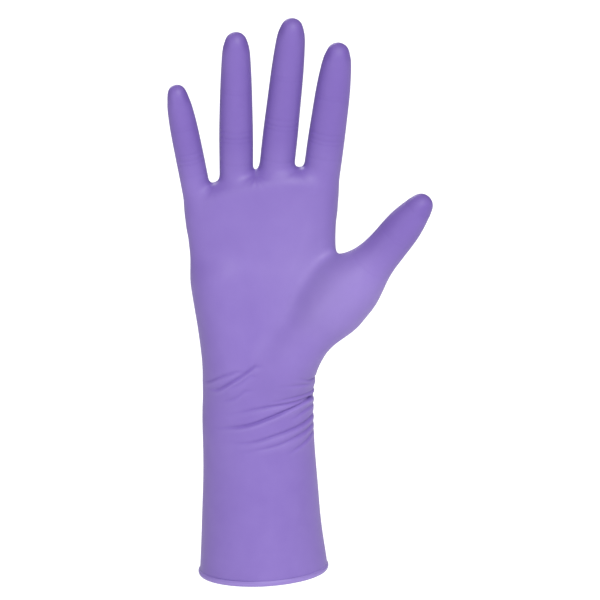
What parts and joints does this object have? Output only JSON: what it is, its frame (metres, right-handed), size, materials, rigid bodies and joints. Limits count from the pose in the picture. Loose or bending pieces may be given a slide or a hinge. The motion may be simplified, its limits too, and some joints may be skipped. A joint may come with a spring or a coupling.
{
  "type": "disposable long-cuff glove",
  "caption": "Disposable violet nitrile glove for a right hand, long cuff with a rolled hem, fingers spread.",
  "frame": {"origin": "middle of the hand opening, in the plane of the rolled hem", "axes": "+Z from the hem towards the fingertips, along the forearm; +X towards the thumb's side; the palm looks along -Y"},
  "size_m": [0.1376, 0.0625, 0.3031],
  "materials": {
    "film": "satin"
  },
  "bodies": {
    "cuff": {"cuff_bead": "film", "cuff": "film", "wrist_folds": "film"},
    "palm": {"palm": "film"},
    "thumb_base": {"thumb_base": "film"},
    "thumb_proximal": {"thumb_proximal": "film"},
    "thumb_tip": {"thumb_tip": "film"},
    "index_proximal": {"index_proximal": "film"},
    "index_middle": {"index_middle": "film"},
    "index_tip": {"index_tip": "film"},
    "middle_proximal": {"middle_proximal": "film"},
    "middle_middle": {"middle_middle": "film"},
    "middle_tip": {"middle_tip": "film"},
    "ring_proximal": {"ring_proximal": "film"},
    "ring_middle": {"ring_middle": "film"},
    "ring_tip": {"ring_tip": "film"},
    "little_proximal": {"little_proximal": "film"},
    "little_middle": {"little_middle": "film"},
    "little_tip": {"little_tip": "film"}
  },
  "joints": [
    {"name": "wrist_flex", "type": "hinge", "parent": "cuff", "child": "palm", "pos_m": [0.0021, 0, 0.1007], "axis": [1, 0, 0], "range_deg": [-50, 60], "stiffness_Nm_per_rad": 0.04, "deforming": ["wrist_folds"]},
    {"name": "thumb_opposition", "type": "hinge", "parent": "palm", "child": "thumb_base", "pos_m": [0.028, -0.02955, 0.1097], "axis": [-0.3008, 0, -0.9537], "range_deg": [0, 40], "stiffness_Nm_per_rad": 0.01},
    {"name": "thumb_root_fold", "type": "hinge", "parent": "thumb_base", "child": "thumb_proximal", "pos_m": [0.05977, -0.02805, 0.17384], "axis": [0.5941, -0.5178, -0.6156], "range_deg": [0, 40], "stiffness_Nm_per_rad": 0.005},
    {"name": "thumb_tip_fold", "type": "hinge", "parent": "thumb_proximal", "child": "thumb_tip", "pos_m": [0.07468, -0.03019, 0.19003], "axis": [0.5941, -0.5178, -0.6156], "range_deg": [0, 60], "stiffness_Nm_per_rad": 0.003},
    {"name": "index_root_fold", "type": "hinge", "parent": "palm", "child": "index_proximal", "pos_m": [0.04324, -0.009, 0.22766], "axis": [0.9842, 0, -0.1771], "range_deg": [0, 75], "stiffness_Nm_per_rad": 0.005},
    {"name": "index_middle_fold", "type": "hinge", "parent": "index_proximal", "child": "index_middle", "pos_m": [0.0451, -0.00952, 0.23798], "axis": [0.9842, 0, -0.1771], "range_deg": [0, 85], "stiffness_Nm_per_rad": 0.003},
    {"name": "index_tip_fold", "type": "hinge", "parent": "index_middle", "child": "index_tip", "pos_m": [0.04899, -0.0103, 0.25962], "axis": [0.9842, 0, -0.1771], "range_deg": [0, 51], "stiffness_Nm_per_rad": 0.002},
    {"name": "middle_root_fold", "type": "hinge", "parent": "palm", "child": "middle_proximal", "pos_m": [0.01863, -0.009, 0.22768], "axis": [0.988, 0, -0.1547], "range_deg": [0, 75], "stiffness_Nm_per_rad": 0.005},
    {"name": "middle_middle_fold", "type": "hinge", "parent": "middle_proximal", "child": "middle_middle", "pos_m": [0.02164, -0.00995, 0.24692], "axis": [0.988, 0, -0.1547], "range_deg": [0, 85], "stiffness_Nm_per_rad": 0.003},
    {"name": "middle_tip_fold", "type": "hinge", "parent": "middle_middle", "child": "middle_tip", "pos_m": [0.02543, -0.01072, 0.27112], "axis": [0.988, 0, -0.1547], "range_deg": [0, 51], "stiffness_Nm_per_rad": 0.002},
    {"name": "ring_root_fold", "type": "hinge", "parent": "palm", "child": "ring_proximal", "pos_m": [-0.0034, -0.0085, 0.22676], "axis": [0.9988, 0, -0.0488], "range_deg": [0, 75], "stiffness_Nm_per_rad": 0.005},
    {"name": "ring_middle_fold", "type": "hinge", "parent": "ring_proximal", "child": "ring_middle", "pos_m": [-0.0027, -0.00923, 0.24122], "axis": [0.9988, 0, -0.0488], "range_deg": [0, 85], "stiffness_Nm_per_rad": 0.003},
    {"name": "ring_tip_fold", "type": "hinge", "parent": "ring_middle", "child": "ring_tip", "pos_m": [-0.00152, -0.01012, 0.26518], "axis": [0.9988, 0, -0.0488], "range_deg": [0, 51], "stiffness_Nm_per_rad": 0.002},
    {"name": "little_root_fold", "type": "hinge", "parent": "palm", "child": "little_proximal", "pos_m": [-0.0266, -0.0075, 0.22177], "axis": [0.9905, 0, 0.1374], "range_deg": [0, 75], "stiffness_Nm_per_rad": 0.005},
    {"name": "little_middle_fold", "type": "hinge", "parent": "little_proximal", "child": "little_middle", "pos_m": [-0.02784, -0.00794, 0.23067], "axis": [0.9905, 0, 0.1374], "range_deg": [0, 85], "stiffness_Nm_per_rad": 0.003},
    {"name": "little_tip_fold", "type": "hinge", "parent": "little_middle", "child": "little_tip", "pos_m": [-0.03011, -0.00848, 0.24701], "axis": [0.9905, 0, 0.1374], "range_deg": [0, 51], "stiffness_Nm_per_rad": 0.002}
  ],
  "couplings": [
    {"joint": "index_tip_fold", "follows": "index_middle_fold", "ratio": 0.6},
    {"joint": "middle_tip_fold", "follows": "middle_middle_fold", "ratio": 0.6},
    {"joint": "ring_tip_fold", "follows": "ring_middle_fold", "ratio": 0.6},
    {"joint": "little_tip_fold", "follows": "little_middle_fold", "ratio": 0.6}
  ]
}
